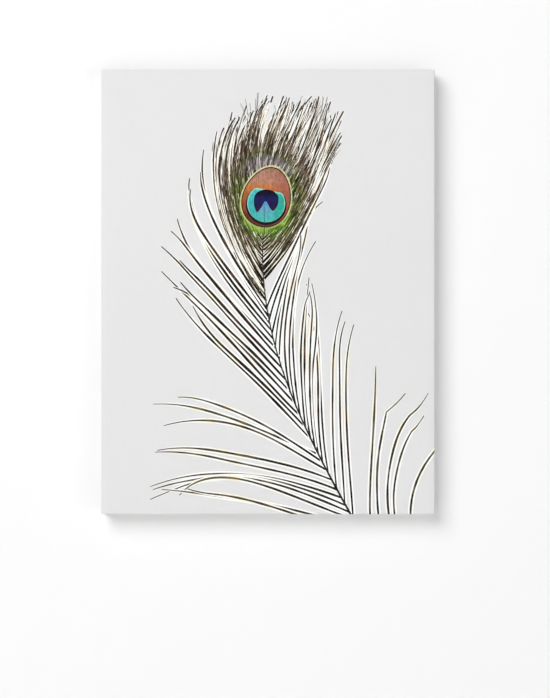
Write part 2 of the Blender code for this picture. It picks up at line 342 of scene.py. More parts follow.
def slack(along, back):
    """How far the cloth bellies out from the bars' sides, between its two folds."""
    share = min(1.0, max(0.0, (back - FOLD_RADIUS) / SIDE))
    waves = math.sin(61 * along + 1.0) + math.sin(97 * along + 4.0) + math.sin(143 * along + 2.2)
    return SLACK * waves * math.sin(math.pi * share)


def bend(run, half, lift):
    """How far out and how far back a point of the sheet lies, once the sheet is folded, from
    its distance run from the middle. lift is its height above the cloth."""
    flat = half - FOLD_RADIUS
    radius = FOLD_RADIUS + lift
    if run <= flat:
        return run, -lift
    run -= flat
    if run <= ARC:
        turn = run / FOLD_RADIUS
        return flat + radius * math.sin(turn), FOLD_RADIUS - radius * math.cos(turn)
    run -= ARC
    if run <= SIDE:
        return half + lift, FOLD_RADIUS + run
    run -= SIDE
    if run <= ARC:
        turn = run / FOLD_RADIUS
        return flat + radius * math.cos(turn), DEPTH - FOLD_RADIUS + radius * math.sin(turn)
    return flat - (run - ARC), DEPTH + lift


def folded(x, z, lift):
    """Where a point of the flat sheet, measured from the picture's middle, ends up."""
    past_x = abs(x) - (HALF_WIDTH - FOLD_RADIUS)
    past_z = abs(z) - (HALF_HEIGHT - FOLD_RADIUS)
    if past_x > past_z:
        out, back = bend(abs(x), HALF_WIDTH, lift)
        x = math.copysign(out + slack(z, back), x)
    else:
        out, back = bend(abs(z), HALF_HEIGHT, lift)
        z = math.copysign(out + slack(x, back), z)
    return Vector((middle.x + x, canvas_low.y + back, middle.z + z))


def flat_place(point, face):
    """The point of the flat sheet that a point of the folded cloth's face came from."""
    x, z = point.x - middle.x, point.z - middle.z
    back = point.y - canvas_low.y
    facing, heart = face.normal, face.calc_center_median() - middle
    on_front_or_back = abs(facing.y) > 0.8
    if on_front_or_back and back < DEPTH / 2:
        return x, z
    if on_front_or_back:
        on_x = HALF_WIDTH - abs(heart.x) < HALF_HEIGHT - abs(heart.z)
    else:
        on_x = abs(facing.x) > abs(facing.z)
    half, place = (HALF_WIDTH, x) if on_x else (HALF_HEIGHT, z)
    if on_front_or_back:
        run = half - FOLD_RADIUS + 2 * ARC + SIDE + (half - FOLD_RADIUS - abs(place))
    else:
        run = half - FOLD_RADIUS + ARC + back - FOLD_RADIUS
    place = math.copysign(run, place)
    return (place, z) if on_x else (x, place)


def vectors(tree, operation, *values):
    return wire(tree, "VectorMath", *values, operation=operation).outputs[0]


def make_weave():
    """Plain weave: threads along the sheet's two ways that pass over and under each other. Its
    Slub is high where a thread is thicker than its neighbours."""
    group, given, result = group_named(
        "plain_weave", {"Vector": "Vector", "Thread": "Float"}, {"Height": "Float", "Slub": "Float"}
    )
    stray = wire(group, "TexNoise", Vector=given["Vector"], Scale=260.0, Detail=1.0).outputs["Color"]
    nudge = vectors(group, "MULTIPLY", stray, (0.00035, 0.00035, 0.0))
    parts = wire(group, "SeparateXYZ", vectors(group, "ADD", given["Vector"], nudge)).outputs
    waves = []
    for part in (parts["X"], parts["Y"]):
        turns = maths(group, "MULTIPLY", maths(group, "DIVIDE", part, given["Thread"]), math.pi)
        waves.append(maths(group, "COSINE", turns))
    over = maths(group, "MULTIPLY_ADD", maths(group, "MULTIPLY", *waves), 0.5, 0.5)
    under = maths(group, "SUBTRACT", 1.0, over)
    tops = []
    for wave, share in zip(waves, (over, under)):
        rounded = maths(group, "POWER", maths(group, "ABSOLUTE", wave), 0.6)
        tops.append(maths(group, "MULTIPLY", rounded, share))
    group.links.new(maths(group, "MAXIMUM", *tops), result["Height"])
    slub = []
    for scale in ((1400.0, 55.0, 1.0), (55.0, 1400.0, 1.0)):
        placed = wire(group, "Mapping", Vector=given["Vector"], Scale=scale)
        slub.append(noise(group, placed.outputs[0], 1.0, 1.0))
    group.links.new(maths(group, "MAXIMUM", *slub), result["Slub"])
    return group


plain_weave = make_weave()


def weave_bump(tree, shader, strength):
    """Puts the cloth's threads on a material. Gives the sheet's own map, and how far a thread
    is thicker there than the others."""
    sheet_map = wire(tree, "UVMap", uv_map="sheet").outputs[0]
    weave = use_group(tree, plain_weave, Vector=sheet_map, Thread=THREAD)
    bumped(tree, shader, weave["Height"], strength, WEAVE_RELIEF)
    return sheet_map, between(tree, weave["Slub"], 0.45, 0.8)


def make_cloth():
    material, tree, shader = finish_named("printed_canvas", GROUND, 0.88, Specular_IOR_Level=MATT)
    sheet_map, thread = weave_bump(tree, shader, 0.4)
    parts = wire(tree, "SeparateXYZ", sheet_map).outputs
    past_x = maths(tree, "SUBTRACT", maths(tree, "ABSOLUTE", parts["X"]), HALF_WIDTH)
    past_z = maths(tree, "SUBTRACT", maths(tree, "ABSOLUTE", parts["Y"]), HALF_HEIGHT)
    ragged = noise(tree, sheet_map, 90.0, 3.0)
    wander = maths(tree, "MULTIPLY_ADD", ragged, PRINT_WANDER, -PRINT_WANDER / 2)
    past = maths(tree, "ADD", maths(tree, "MAXIMUM", past_x, past_z), wander)
    unprinted = between(tree, past, PRINT_PAST_EDGE, PRINT_PAST_EDGE + PRINT_BLUR)
    mottle = noise(tree, sheet_map, 7.0, 2.0)
    ground = mixed(tree, mottle, (0.722, 0.722, 0.725), (0.746, 0.746, 0.744))
    inked = mixed(tree, maths(tree, "MULTIPLY", thread, 0.2), ground, (0.80, 0.80, 0.79))
    raw = mixed(tree, thread, RAW_CLOTH, RAW_THREAD)
    coloured(tree, shader, mixed(tree, unprinted, inked, raw))
    return material


def make_raw_cloth():
    """The cloth's inner side, which was never printed."""
    material, tree, shader = finish_named("raw_canvas", RAW_CLOTH, 0.92, Specular_IOR_Level=MATT)
    _, thread = weave_bump(tree, shader, 0.7)
    coloured(tree, shader, mixed(tree, thread, RAW_CLOTH, RAW_THREAD))
    return material


def face_outward(bm):
    """Turns the faces of a folded sheet so that they look away from the print's middle."""
    bm.normal_update()
    wrong = [f for f in bm.faces if f.normal.dot(f.calc_center_median() - middle) < 0]
    bmesh.ops.reverse_faces(bm, faces=wrong)


CORNER_LIFT, CORNER_LIFT_RUN = 0.0005, 0.006
BACK_LIFT = 0.00035
CORNER_START = 0.0016
CORNER_TIP = 0.0006
CORNER_STEPS = 40


def add_folded_corner(bm, across, up, spare):
    """The cloth's spare corner, folded flat onto the top or bottom side and over the back.
    across and up are its signs, and spare is how much farther it reaches than the margin."""
    flat = HALF_HEIGHT - FOLD_RADIUS
    long = SHEET_PAST_EDGE + FOLD_RADIUS
    leg = long * (1 + spare)
    flap = bmesh.new()
    bmesh.ops.create_grid(flap, x_segments=1, y_segments=1, size=0.5)
    corners = sorted(flap.verts, key=lambda v: (v.co.y, v.co.x))
    outline = ((0, CORNER_START), (CORNER_TIP, CORNER_START), (0, long), (leg, long))
    for v, (inward, run) in zip(corners, outline):
        v.co = (across * (HALF_WIDTH - inward), 0, up * (flat + run))
    runs = [long * k / CORNER_STEPS for k in range(1, CORNER_STEPS)]
    runs += [start + ARC * share for share in (0.25, 0.75) for start in (0, ARC + SIDE)]
    for run in runs:
        cut(flap, (0, 0, up * (flat + run)), (0, 0, up))
    sheet = flap.loops.layers.uv.new("sheet")
    for f in flap.faces:
        f.smooth = True
        for loop in f.loops:
            loop[sheet].uv = (loop.vert.co.x, loop.vert.co.z)
    for v in flap.verts:
        run = abs(v.co.z) - flat
        on_back = min(1.0, max(0.0, (run - SIDE) / (2 * ARC)))
        rise = min(1.0, max(0.0, (run - CORNER_START) / CORNER_LIFT_RUN))
        v.co = folded(v.co.x, v.co.z, (CORNER_LIFT + (BACK_LIFT - CORNER_LIFT) * on_back) * rise)
    face_outward(flap)
    mesh = bpy.data.meshes.new("folded_corner")
    flap.to_mesh(mesh)
    flap.free()
    bm.from_mesh(mesh)
    bpy.data.meshes.remove(mesh)


CLOTH_STEP = 0.02
FOLD_STEPS = 4
CORNER_SPARES = ((-1, 1, 0.03), (1, 1, -0.04), (-1, -1, 0.0), (1, -1, 0.05))


def on_edge(point, within):
    """Whether point is at most within from one of the print's four sides."""
    x, z = abs(point.x - middle.x), abs(point.z - middle.z)
    return x > HALF_WIDTH - within or z > HALF_HEIGHT - within


def make_canvas():
    bm = bmesh.new()
    whole = Matrix.Diagonal((2 * HALF_WIDTH, DEPTH, 2 * HALF_HEIGHT, 1))
    bmesh.ops.create_cube(bm, size=1, matrix=Matrix.Translation(middle) @ whole)
    back = max(bm.faces, key=lambda f: f.calc_center_median().y)
    bmesh.ops.inset_region(bm, faces=[back], thickness=MARGIN, use_even_offset=True)
    bmesh.ops.delete(bm, geom=[back], context="FACES")
    outer = [e for e in bm.edges if all(on_edge(v.co, MARGIN / 2) for v in e.verts)]
    bmesh.ops.bevel(
        bm, geom=outer, offset=FOLD_RADIUS, segments=FOLD_STEPS, profile=0.5, affect="EDGES",
        material=-1,
    )
    bmesh.ops.remove_doubles(bm, verts=bm.verts, dist=1e-5)
    for way, half in ((Vector((1, 0, 0)), HALF_WIDTH), (Vector((0, 0, 1)), HALF_HEIGHT)):
        count = int((half - 3 * FOLD_RADIUS) / CLOTH_STEP)
        for i in range(-count, count + 1):
            cut(bm, middle + way * (i * CLOTH_STEP), way)
    bm.normal_update()
    sheet = bm.loops.layers.uv.new("sheet")
    for f in bm.faces:
        f.smooth = True
        for loop in f.loops:
            loop[sheet].uv = flat_place(loop.vert.co, f)
    for v in bm.verts:
        x, z = v.co.x - middle.x, v.co.z - middle.z
        back = v.co.y - canvas_low.y
        if abs(x) > HALF_WIDTH - FOLD_RADIUS:
            v.co.x += math.copysign(slack(z, back), x)
        if abs(z) > HALF_HEIGHT - FOLD_RADIUS:
            v.co.z += math.copysign(slack(x, back), z)
    for across, up, spare in CORNER_SPARES:
        add_folded_corner(bm, across, up, spare)
    obj = made_of("printed_canvas", bm, make_cloth(), make_raw_cloth())
    depth = obj.modifiers.new("cloth", "SOLIDIFY")
    depth.thickness, depth.offset, depth.use_even_offset = CLOTH, -1, True
    depth.material_offset, depth.material_offset_rim = 1, 1
    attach(obj, "root")
    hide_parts("canvas")
    return obj


cloth = make_canvas()


# ---- Loose threads --------------------------------------------------------------------
# The cloth was cut with shears and never hemmed, so short ends of its threads stand out
# from the cut edge, over the backs of the bars.
THREAD_ENDS = 150
THREAD_RADIUS = 0.00013
THREAD_STEPS = 5
THREAD_DROOP = 0.0004
UNDER_CLOTH = 0.0008
CLEAR_OF_CORNER = 0.02


def make_loose_threads():
    """Short bent ends of thread, each of which starts just inside the cloth's cut edge."""
    rng = random.Random(23)
    yarn = bpy.data.curves.new("yarn", "CURVE")
    yarn.dimensions, yarn.bevel_depth, yarn.bevel_resolution = "3D", THREAD_RADIUS, 0
    yarn.use_fill_caps = True
    half = HALF_WIDTH - MARGIN, HALF_HEIGHT - MARGIN
    for n in range(THREAD_ENDS):
        upright = n % 2 == 0
        sign = rng.choice((-1, 1))
        across, along = half if upright else half[::-1]
        start = rng.uniform(-1, 1) * (along - CLEAR_OF_CORNER)
        length, sway = rng.uniform(0.0015, 0.006), rng.uniform(-0.0022, 0.0022)
        spline = yarn.splines.new("POLY")
        spline.points.add(THREAD_STEPS)
        for k, point in enumerate(spline.points):
            t = k / THREAD_STEPS
            out = sign * (across + UNDER_CLOTH - length * t)
            side = start + sway * t * t
            x, z = (out, side) if upright else (side, out)
            y = canvas_high.y - CLOTH / 2 - THREAD_DROOP * t
            point.co = (middle.x + x, y, middle.z + z, 1)
    rope = bpy.data.objects.new("yarn", yarn)
    mesh = bpy.data.meshes.new_from_object(rope)
    mesh.name = "loose_threads"
    material, tree, shader = finish_named("thread", RAW_CLOTH, 0.9, Specular_IOR_Level=MATT)
    fuzz = noise(tree, own_place(tree), 1800.0, 2.0)
    coloured(tree, shader, mixed(tree, fuzz, (0.74, 0.71, 0.64), (0.88, 0.87, 0.83)))
    mesh.materials.clear()
    mesh.materials.append(material)
    obj = bpy.data.objects.new("loose_threads", mesh)
    bpy.context.scene.collection.objects.link(obj)
    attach(obj, "root")
    bpy.data.objects.remove(rope)
    bpy.data.curves.remove(yarn)


make_loose_threads()


# ---- Printed feather: shaft and bare barbs --------------------------------------------
# The picture is ink on the cloth, one stroke for each barb, drawn flat in millimetres from the
# picture's middle. The dark shaft climbs from the lower right edge to the eye, and long bare
# barbs leave it on both sides, drooping at the lower left and bent over at the lower right.
MM = 0.001
INK = 0.00004
LAYER = 0.000004
LEVELS = 14
STROKE_STEP = 3.0
rng = random.Random(4)


def curve(handles):
    """Points along a curve from its start, two handles and end."""
    a, b, c, d = (np.array(h, float) for h in handles)
    reach = sum(np.linalg.norm(q - p) for p, q in ((a, b), (b, c), (c, d)))
    t = np.linspace(0, 1, max(6, int(reach / STROKE_STEP)) + 1)[:, None]
    return a * (1 - t) ** 3 + 3 * b * t * (1 - t) ** 2 + 3 * c * t**2 * (1 - t) + d * t**3


def row_at(rows, q):
    """The handles between two rows of handles, q rows along the list."""
    rows = np.array(rows, float)
    i = min(max(int(q), 0), len(rows) - 2)
    return rows[i] + (rows[i + 1] - rows[i]) * (q - i)


def aside_of(line):
    """The way that is square to line at each of its points."""
    along = np.gradient(line, axis=0)
    along /= np.linalg.norm(along, axis=1)[:, None] + 1e-9
    return np.stack([along[:, 1], -along[:, 0]], 1)


def wavering(line, amount):
    """line, with a slow waver that grows towards its free end."""
    t = np.linspace(0, 1, len(line))
    sway = sum(np.sin(t * rng.uniform(3, 11) + rng.uniform(0, 6.3)) for _ in range(3)) / 3
    return line + aside_of(line) * (sway * amount * t)[:, None]


def hooked(line, turn, share=0.3):
    """line, with its last share curled round by turn, in degrees."""
    steps = np.diff(line, axis=0)
    t = np.linspace(0, 1, len(steps))
    angle = math.radians(turn) * np.clip((t - 1 + share) / share, 0, 1) ** 1.3
    c, s = np.cos(angle), np.sin(angle)
    turned = np.stack([steps[:, 0] * c + steps[:, 1] * s, steps[:, 1] * c - steps[:, 0] * s], 1)
    return np.vstack([line[:1], line[0] + np.cumsum(turned, axis=0)])


BAKE_EDGE, BAKE_HALF = 0.02, 0.4


class Ink:
    """Strokes and shapes of one ink, drawn flat and then folded with the cloth. Each stroke
    has a strip of its own on the map that the colours are baked to."""

    def __init__(self, name, strokes=0, columns=1):
        self.name = name
        self.bm = bmesh.new()
        self.strand = self.bm.loops.layers.uv.new("strand")
        self.tip = self.bm.verts.layers.float.new("toward_tip")
        self.baked = self.bm.loops.layers.uv.new("OFBake")
        self.columns = columns
        self.rows = max(1, math.ceil(strokes / columns))
        self.count = 0

    def stroke(self, line, widths, level, shift=0.0):
        """One strip along line. widths are its widths at even steps from its root to its tip,
        level is how many layers up it lies, and shift moves it sideways."""
        steps = len(line) - 1
        aside = aside_of(line)
        t = np.linspace(0, 1, steps + 1)
        width = np.interp(t, np.linspace(0, 1, len(widths)), widths)
        length = np.concatenate([[0], np.cumsum(np.linalg.norm(np.diff(line, axis=0), axis=1))])
        strip = bmesh.ops.create_grid(self.bm, x_segments=steps, y_segments=1, size=0.5)
        spot = {}
        for v in strip["verts"]:
            i = round((v.co.x + 0.5) * steps)
            side = 1 if v.co.y > 0 else -1
            x, z = line[i] + aside[i] * (side * width[i] / 2 + shift)
            v.co = (x * MM, -(INK + LAYER * level), z * MM)
            v[self.tip] = t[i]
            spot[v] = (t[i], side, length[i])
        for f in {f for v in strip["verts"] for f in v.link_faces}:
            for loop in f.loops:
                share, side, run = spot[loop.vert]
                loop[self.strand].uv = (self.count + run * MM * 2, side * 0.5 + 0.5)
                across = self.count % self.columns + BAKE_EDGE + (1 - 2 * BAKE_EDGE) * share
                down = self.count // self.columns + 0.5 + side * BAKE_HALF
                loop[self.baked].uv = (across / self.columns, down / self.rows)
        self.count += 1

    def shape(self, outline, level):
        """A filled area inside outline, a closed run of points."""
        ring = bmesh.ops.create_circle(self.bm, cap_ends=True, segments=len(outline), radius=1)
        low, high = np.min(outline, axis=0), np.max(outline, axis=0)
        for v, (x, z) in zip(ring["verts"], outline):
            v.co = (x * MM, -(INK + LAYER * level), z * MM)
        for f in {f for v in ring["verts"] for f in v.link_faces}:
            for loop in f.loops:
                at = np.array((loop.vert.co.x, loop.vert.co.z)) / MM
                loop[self.baked].uv = BAKE_EDGE / 2 + (1 - BAKE_EDGE) * (at - low) / (high - low)

    def trimmed(self):
        """Cuts the ink along the sheet's folds, and off past the printed part and at the
        sheet's corners."""
        for half, axis in ((HALF_WIDTH, 0), (HALF_HEIGHT, 2)):
            cuts, start = [], half - FOLD_RADIUS
            for part in (ARC, SIDE, ARC):
                cuts += [start + part * k / FOLD_STEPS for k in range(FOLD_STEPS)]
                start += part
            limit = half + PRINT_PAST_EDGE
            for sign in (-1, 1):
                reach = max(v.co[axis] * sign for v in self.bm.verts)
                way = Vector((0, 0, 0))
                way[axis] = sign
                for run in cuts + [start, limit]:
                    if reach <= run:
                        break
                    cut(self.bm, way * run, way, clear_outer=run == limit)
        corner = []
        for f in self.bm.faces:
            centre = f.calc_center_median()
            if min(abs(centre.x) - HALF_WIDTH, abs(centre.z) - HALF_HEIGHT) > -FOLD_RADIUS:
                corner.append(f)
        bmesh.ops.delete(self.bm, geom=corner, context="FACES")

    def laid(self, material):
        """Trims the ink, folds it with the cloth and makes it a piece."""
        self.trimmed()
        bm = self.bm
        sheet = bm.loops.layers.uv.new("sheet")
        for f in bm.faces:
            for loop in f.loops:
                loop[sheet].uv = (loop.vert.co.x, loop.vert.co.z)
        for v in bm.verts:
            v.co = folded(v.co.x, v.co.z, -v.co.y)
        face_outward(bm)
        obj = made_of(self.name, bm, material)
        coat = obj.modifiers.new("coat", "SOLIDIFY")
        coat.thickness, coat.offset = INK, -1
        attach(obj, "root")


SHAFT = ((88, -224), (30, -122), (-14, -40), (-3, 66))
LEFT_BARBS = (
    ((0, -133), (5, -98), (-40, -48), (-90, -12)),
    ((0, -98), (-12, -60), (-52, -16), (-92, 22)),
    ((0, -63), (-22, -30), (-62, 12), (-86, 47)),
    ((0, -36), (-28, 4), (-70, 48), (-80, 100)),
    ((0, -16), (-30, 26), (-60, 80), (-53, 128)),
)
RIGHT_BARBS = (
    ((0, -204), (76, -150), (66, -90), (74, -30)),
    ((0, -158), (45, -112), (50, -60), (45, -9)),
    ((0, -134), (30, -90), (36, -40), (41, 16)),
    ((0, -100), (14, -54), (16, -4), (30, 48)),
    ((0, -54), (10, -14), (22, 34), (42, 84)),
    ((0, -14), (14, 30), (46, 78), (62, 138)),
)
DROOPING_BARBS = (
    ((0, -146), (5, -126), (-35, -90), (-98, -88)),
    ((0, -160), (10, -137), (-50, -106), (-112, -128)),
    ((0, -178), (20, -165), (-30, -160), (-90, -149)),
    ((0, -192), (25, -172), (-50, -140), (-104, -178)),
    ((0, -204), (30, -185), (-40, -150), (-96, -202)),
    ((0, -220), (30, -205), (-30, -190), (-80, -176)),
)
EDGE_BARBS = (
    ((94, -222), (86, -180), (96, -130), (98, -64)),
    ((103, -226), (92, -180), (100, -140), (108, -106)),
    ((114, -226), (100, -175), (112, -135), (126, -112)),
    ((120, -228), (104, -178), (116, -150), (130, -124)),
    ((132, -228), (120, -180), (140, -150), (166, -128)),
)
# Which of the edge's barbs have snapped, and how long the bent part of each is.
SNAPPED = {1: 24, 2: 26, 3: 18}
shaft_line = curve(SHAFT)


def on_shaft(z):
    """The shaft's point at height z."""
    order = np.argsort(shaft_line[:, 1])
    return float(np.interp(z, shaft_line[order, 1], shaft_line[order, 0])), z


def barb_set(rows, clumps, spread, cling, hook, by_shaft=True):
    """Barbs from the first row to the last. clumps says how many cling together at a time,
    cling how closely, spread how unevenly they grow, and hook how far their tips may curl, in
    degrees."""
    lines, last = [], sum(clumps) - 1
    for size in clumps:
        heart = row_at(rows, (len(rows) - 1) * (len(lines) + (size - 1) / 2) / last)
        for k in range(size):
            handles = row_at(rows, (len(rows) - 1) * len(lines) / last)
            handles[2] += (heart[2] - handles[2]) * cling * rng.uniform(0.5, 1.3)
            handles[3] += (heart[3] - handles[3]) * cling * rng.uniform(0.2, 1.1)
            longer = rng.uniform(-0.05, 0.1) if k == 0 else rng.uniform(-0.4, 0)
            handles[3] += (handles[3] - handles[2]) * longer
            handles[1:] += [[rng.gauss(0, spread), rng.gauss(0, spread)] for _ in range(3)]
            if by_shaft:
                handles[0] = on_shaft(handles[0][1])
            line = wavering(curve(handles), 1.5)
            lines.append(hooked(line, rng.uniform(-hook, hook), rng.uniform(0.15, 0.4)))
    return lines


SNAP_STEPS = 7


def snapped(line, reach):
    """line with a last part bent over to the right, where the barb has snapped. reach is how
    long that part is."""
    point, end = line[-1], []
    heading = math.radians(rng.uniform(40, 56))
    for _ in range(SNAP_STEPS):
        heading -= math.radians(rng.uniform(0, 5))
        point = point + np.array([math.sin(heading), math.cos(heading)]) * reach / SNAP_STEPS
        end.append(point)
    return np.vstack([line, end])


def bristly(widths, most=0.22):
    """widths, made uneven where barbules have stuck to the barb."""
    fine = np.interp(np.linspace(0, 1, 16), np.linspace(0, 1, len(widths)), widths)
    return [w * (1 + rng.uniform(-most, most)) for w in fine]


left_lines = barb_set(LEFT_BARBS, (2, 3, 2, 2, 3, 2), 1.6, 0.85, 24)
right_lines = barb_set(RIGHT_BARBS, (2, 1, 2, 1, 3, 3, 4, 2), 2.4, 0.35, 30)
droop_lines = barb_set(DROOPING_BARBS, (3, 2, 1, 3, 2), 6.0, 0.7, 26)
edge_lines = barb_set(EDGE_BARBS, (1, 1, 1, 1, 1), 0.6, 0, 0, by_shaft=False)
for n, reach in SNAPPED.items():
    edge_lines[n] = snapped(edge_lines[n], reach)


def barb_noise(tree, along, across, detail=2.0):
    """Noise that runs along each stroke. along and across are its scales, and across may be
    0 for a value that is the same right across the stroke."""
    strand = wire(tree, "UVMap", uv_map="strand").outputs[0]
    placed = wire(tree, "Mapping", Vector=strand, Scale=(along, across, 1.0))
    return noise(tree, placed.outputs[0], 1.0, detail)


def toward_tip(tree):
    """How far along its stroke the shaded point is, 1 being the tip."""
    return wire(tree, "Attribute", attribute_name="toward_tip").outputs["Fac"]


def make_pale_ink(name, root):
    """The paper-white that edges every barb, a little yellow here and there. root is its
    colour where the barb starts."""
    material, tree, shader = finish_named(name, (0.95, 0.94, 0.9), 0.88, Specular_IOR_Level=MATT)
    weave_bump(tree, shader, 0.4)
    yellow = between(tree, barb_noise(tree, 24.0, 0.4), 0.42, 0.66)
    yellow = maths(tree, "MULTIPLY", yellow, between(tree, toward_tip(tree), 0.1, 0.5))
    cream = mixed(tree, yellow, (0.97, 0.97, 0.96), (0.92, 0.87, 0.70))
    tinted = mixed(tree, 0.75, cream, root)
    cream = mixed(tree, between(tree, toward_tip(tree), 0.35, 0.6), tinted, cream)
    fade = between(tree, toward_tip(tree), 0.8, 1.0)
    coloured(tree, shader, mixed(tree, fade, cream, (0.82, 0.82, 0.81)))
    return material


def make_dark_ink(name, root, tip, patch):
    """A barb's rib: root and tip are its colours where it starts and ends, and patch is the
    colour of the barbules that still cling to it."""
    material, tree, shader = finish_named(name, root, 0.8, Specular_IOR_Level=MATT)
    weave_bump(tree, shader, 0.4)
    colour = mixed(tree, between(tree, toward_tip(tree), 0.15, 0.95), root, tip)
    clinging = between(tree, barb_noise(tree, 36.0, 1.1), 0.46, 0.66)
    share = maths(tree, "MULTIPLY", clinging, between(tree, toward_tip(tree), 0.05, 0.4))
    colour = mixed(tree, share, colour, patch)
    grey = maths(tree, "MULTIPLY", between(tree, barb_noise(tree, 150.0, 2.0), 0.5, 0.8), 0.35)
    coloured(tree, shader, mixed(tree, grey, colour, (0.15, 0.13, 0.10)))
    return material


bare = [(line, (1.4, 1.6, 1.7, 1.4, 0.8)) for line in right_lines]
bare += [(line, (1.5, 2.2, 2.3, 1.9, 0.9)) for line in left_lines]
drooping = [(line, (1.7, 1.8, 1.9, 1.7, 0.8)) for line in droop_lines + edge_lines]

pale = Ink("barb_edges", len(bare) + len(drooping))
spines = Ink("bare_barbs", len(bare))
olives = Ink("drooping_barbs", len(drooping))
for n, (line, widths) in enumerate(drooping + bare):
    level = n % LEVELS
    pale.stroke(line, [w + 2.8 for w in widths[:-1]] + [widths[-1] + 1.3], level)
    ink = olives if n < len(drooping) else spines
    ink.stroke(line, bristly(widths), level + 0.6)
pale.laid(make_pale_ink("pale_ink", (0.97, 0.97, 0.96)))
BLACK_ROOT, BLACK_TIP, RUST = (0.006, 0.005, 0.004), (0.022, 0.018, 0.012), (0.11, 0.055, 0.026)
spines.laid(make_dark_ink("spine_ink", BLACK_ROOT, BLACK_TIP, RUST))
OLIVE_ROOT, OLIVE_TIP, STRAW = (0.014, 0.011, 0.006), (0.055, 0.050, 0.020), (0.17, 0.135, 0.05)
olives.laid(make_dark_ink("olive_ink", OLIVE_ROOT, OLIVE_TIP, STRAW))

shaft = Ink("shaft", 1)
shaft.stroke(shaft_line, (1.9, 1.6, 1.3, 1.0, 0.8), LEVELS + 1)
SHAFT_BROWN, HUSK = (0.012, 0.009, 0.007), (0.07, 0.05, 0.03)
shaft.laid(make_dark_ink("shaft_ink", SHAFT_BROWN, SHAFT_BROWN, HUSK))


# ---- Printed feather: the head --------------------------------------------------------
# Round the eye the barbs carry loose barbules, so each one is a dark rib in a speckled
# fringe. They fan out past the eye, and their tips cling together in locks.
HEAD = (
    ((0, -12), (-36, 34), (-60, 106), (-38, 152)),
    ((0, 12), (-34, 54), (-50, 116), (-24, 162)),
    ((0, 42), (-28, 66), (-33, 118), (-12, 162)),
    ((-4, 72), (-20, 95), (-17, 140), (-4, 180)),
    ((-4, 88), (-3, 118), (2, 146), (17, 173)),
    ((-3, 88), (10, 118), (20, 146), (36, 176)),
    ((-3, 74), (24, 100), (34, 135), (54, 177)),
    ((0, 44), (24, 68), (39, 112), (62, 164)),
    ((0, 12), (24, 44), (50, 92), (66, 150)),
)
LOCKS = 10
HEAD_BARBS = 72
EYE = (-0.8, 85.2)
EYE_HALF = (22.6, 28.6)


def eye_reach(line):
    """How far each point of line is from the eye's middle, 1 being on its rim."""
    return np.linalg.norm((line - EYE) / EYE_HALF, axis=1)


def head_barb(q, cling, spread):
    """One barb of the fan, q rows along it. cling is how far it leans to its lock."""
    last = len(HEAD) - 1
    lock = round(q / last * LOCKS) / LOCKS * last
    root, heart = row_at(HEAD, q), row_at(HEAD, lock)
    handles = root + (heart - root) * cling * np.array([[0], [0], [0.5], [1]])
    handles[1:] += [[rng.gauss(0, spread), rng.gauss(0, spread)] for _ in range(3)]
    handles[3] += (handles[3] - handles[2]) * rng.uniform(-0.3, 0.06)
    if abs(handles[0][0]) < 1:
        handles[0] = on_shaft(handles[0][1])
    return wavering(curve(handles), 1.4)


def picture_place(tree, centre, unit=(1, 1)):
    """Where the shaded point is, right of and above centre, which is a point of the picture.
    unit is the size of one step across and up, in millimetres."""
    centre = (-(middle.x + centre[0] * MM), 0, -(middle.z + centre[1] * MM))
    moved = vectors(tree, "ADD", own_place(tree), centre)
    return vectors(tree, "MULTIPLY", moved, (1 / (unit[0] * MM), 0, 1 / (unit[1] * MM)))


def make_fringe_ink(name, one_tone):
    """Barbules: brown and cream far from the eye, green close to it, lime just under it and a
    dull purple just over it. Each stroke is speckled, or of one tone of its own."""
    material, tree, shader = finish_named(name, (0.2, 0.14, 0.08), 0.85, Specular_IOR_Level=MATT)
    weave_bump(tree, shader, 0.4)
    scaled = picture_place(tree, EYE, EYE_HALF)
    reach = wire(tree, "VectorMath", scaled, operation="LENGTH").outputs["Value"]
    height = wire(tree, "SeparateXYZ", scaled).outputs["Z"]
    fine = between(tree, barb_noise(tree, 560.0, 3.0, 3.0), 0.38, 0.62)
    long = between(tree, barb_noise(tree, 70.0, 3.2), 0.40, 0.62)
    tone = between(tree, barb_noise(tree, 0.7, 0.0, 0.0), 0.35, 0.65)
    speck = maths(tree, "POWER", maths(tree, "MULTIPLY", maths(tree, "ADD", fine, long), 0.5), 1.6)
    if one_tone:
        speck = between(tree, barb_noise(tree, 0.9, 0.0, 0.0), 0.3, 0.75)
        speck = maths(tree, "POWER", speck, 1.8)
    dark = mixed(tree, tone, (0.018, 0.013, 0.008), (0.060, 0.030, 0.018))
    light = mixed(tree, tone, (0.62, 0.54, 0.38), (0.24, 0.16, 0.10))
    brown = mixed(tree, speck, dark, light)
    green = mixed(tree, speck, (0.020, 0.030, 0.008), (0.29, 0.32, 0.09))
    lime = mixed(tree, speck, (0.035, 0.075, 0.012), (0.28, 0.43, 0.08))
    dull = mixed(tree, speck, (0.13, 0.115, 0.10), (0.48, 0.42, 0.44))
    colour = mixed(tree, between(tree, reach, 1.75, 1.15), brown, green)
    below, above = between(tree, height, -0.5, -0.95), between(tree, height, 0.55, 0.95)
    share = maths(tree, "MULTIPLY", between(tree, reach, 1.45, 1.1), below)
    colour = mixed(tree, share, colour, lime)
    share = maths(tree, "MULTIPLY", between(tree, reach, 1.5, 1.15), above)
    coloured(tree, shader, mixed(tree, share, colour, dull))
    return material


